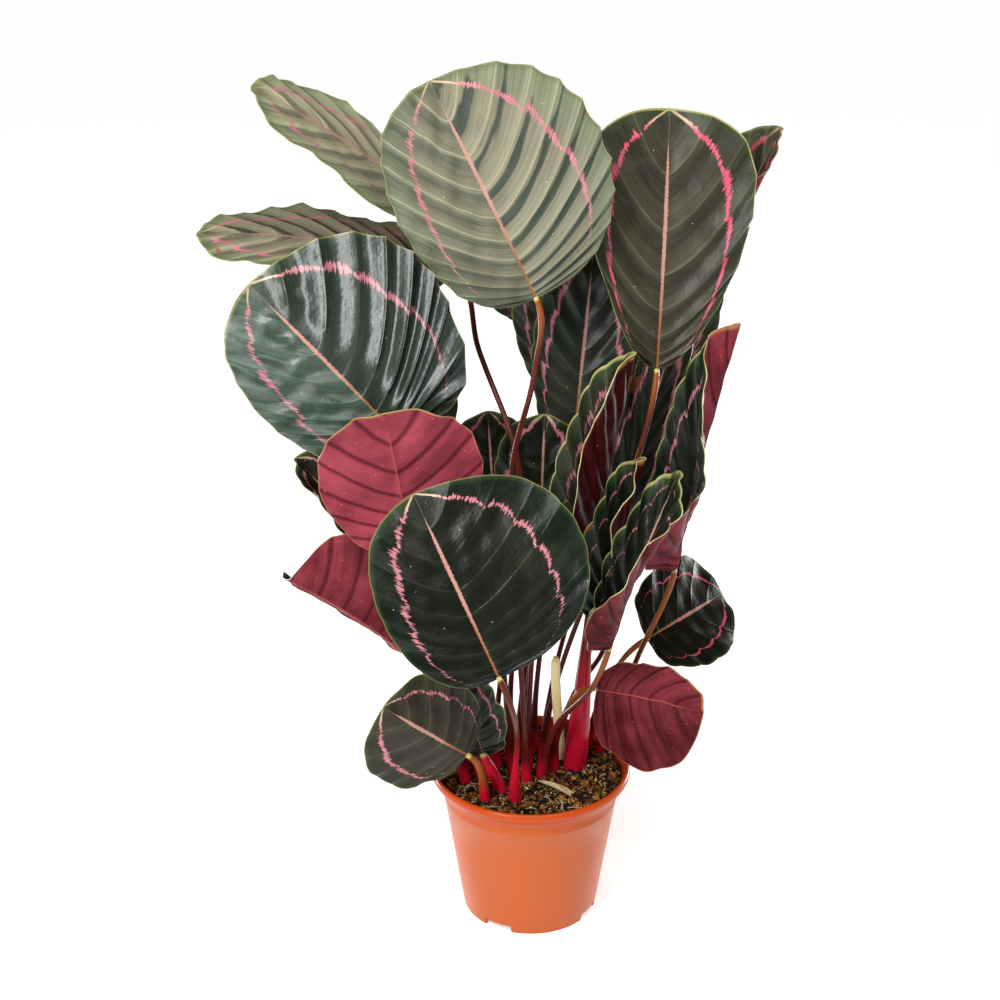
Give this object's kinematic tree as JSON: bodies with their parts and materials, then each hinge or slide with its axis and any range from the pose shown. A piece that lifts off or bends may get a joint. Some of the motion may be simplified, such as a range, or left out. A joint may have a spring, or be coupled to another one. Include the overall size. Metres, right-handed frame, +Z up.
{
  "type": "potted calathea",
  "caption": "Bushy potted calathea: round pleated dark leaves with a pink ring and maroon undersides, on thin red stalks that stand in soil in a tapered orange nursery pot.",
  "frame": {"origin": "middle of the bounding box, at the level of the pot's foot ring", "axes": "+Z up; the pictured front faces -Y; +X is to the right as seen from the front. The pot's axis is parallel to Z, about 29 mm to +X and 30 mm to -Y of the origin"},
  "size_m": [0.3864, 0.285, 0.5855],
  "materials": {
    "leaf": "satin, waxy; maroon underside",
    "stalk": "smooth, slightly glossy",
    "young_stalk": "smooth",
    "pot": "moulded, glossy",
    "soil": "rough, crumbly",
    "straw": "dry, fibrous"
  },
  "bodies": {
    "root": {"blade_01": "leaf", "blade_02": "leaf", "blade_03": "leaf", "blade_04": "leaf", "blade_05": "leaf", "blade_06": "leaf", "blade_07": "leaf", "blade_08": "leaf", "blade_09": "leaf", "blade_10": "leaf", "blade_11": "leaf", "blade_12": "leaf", "blade_13": "leaf", "blade_14": "leaf", "blade_15": "leaf", "blade_16": "leaf", "blade_17": "leaf", "blade_18": "leaf", "blade_19": "leaf", "blade_20": "leaf", "blade_21": "leaf", "blade_22": "leaf", "blade_23": "leaf", "blade_24": "leaf", "blade_25": "leaf", "blade_26": "leaf", "blade_27": "leaf", "stalk_01": "stalk", "stalk_02": "stalk", "stalk_03": "stalk", "stalk_04": "stalk", "stalk_05": "stalk", "stalk_06": "stalk", "stalk_07": "stalk", "stalk_08": "stalk", "stalk_09": "stalk", "stalk_10": "stalk", "stalk_11": "stalk", "stalk_12": "stalk", "stalk_13": "stalk", "stalk_14": "stalk", "stalk_15": "stalk", "stalk_16": "stalk", "stalk_17": "stalk", "stalk_18": "stalk", "stalk_19": "stalk", "stalk_20": "stalk", "stalk_21": "stalk", "stalk_22": "stalk", "stalk_23": "stalk", "stalk_24": "stalk", "stalk_25": "stalk", "stalk_26": "stalk", "stalk_27": "stalk", "young_stalk": "young_stalk", "pot": "pot", "soil": "soil", "dry_sheath": "straw"}
  },
  "joints": []
}
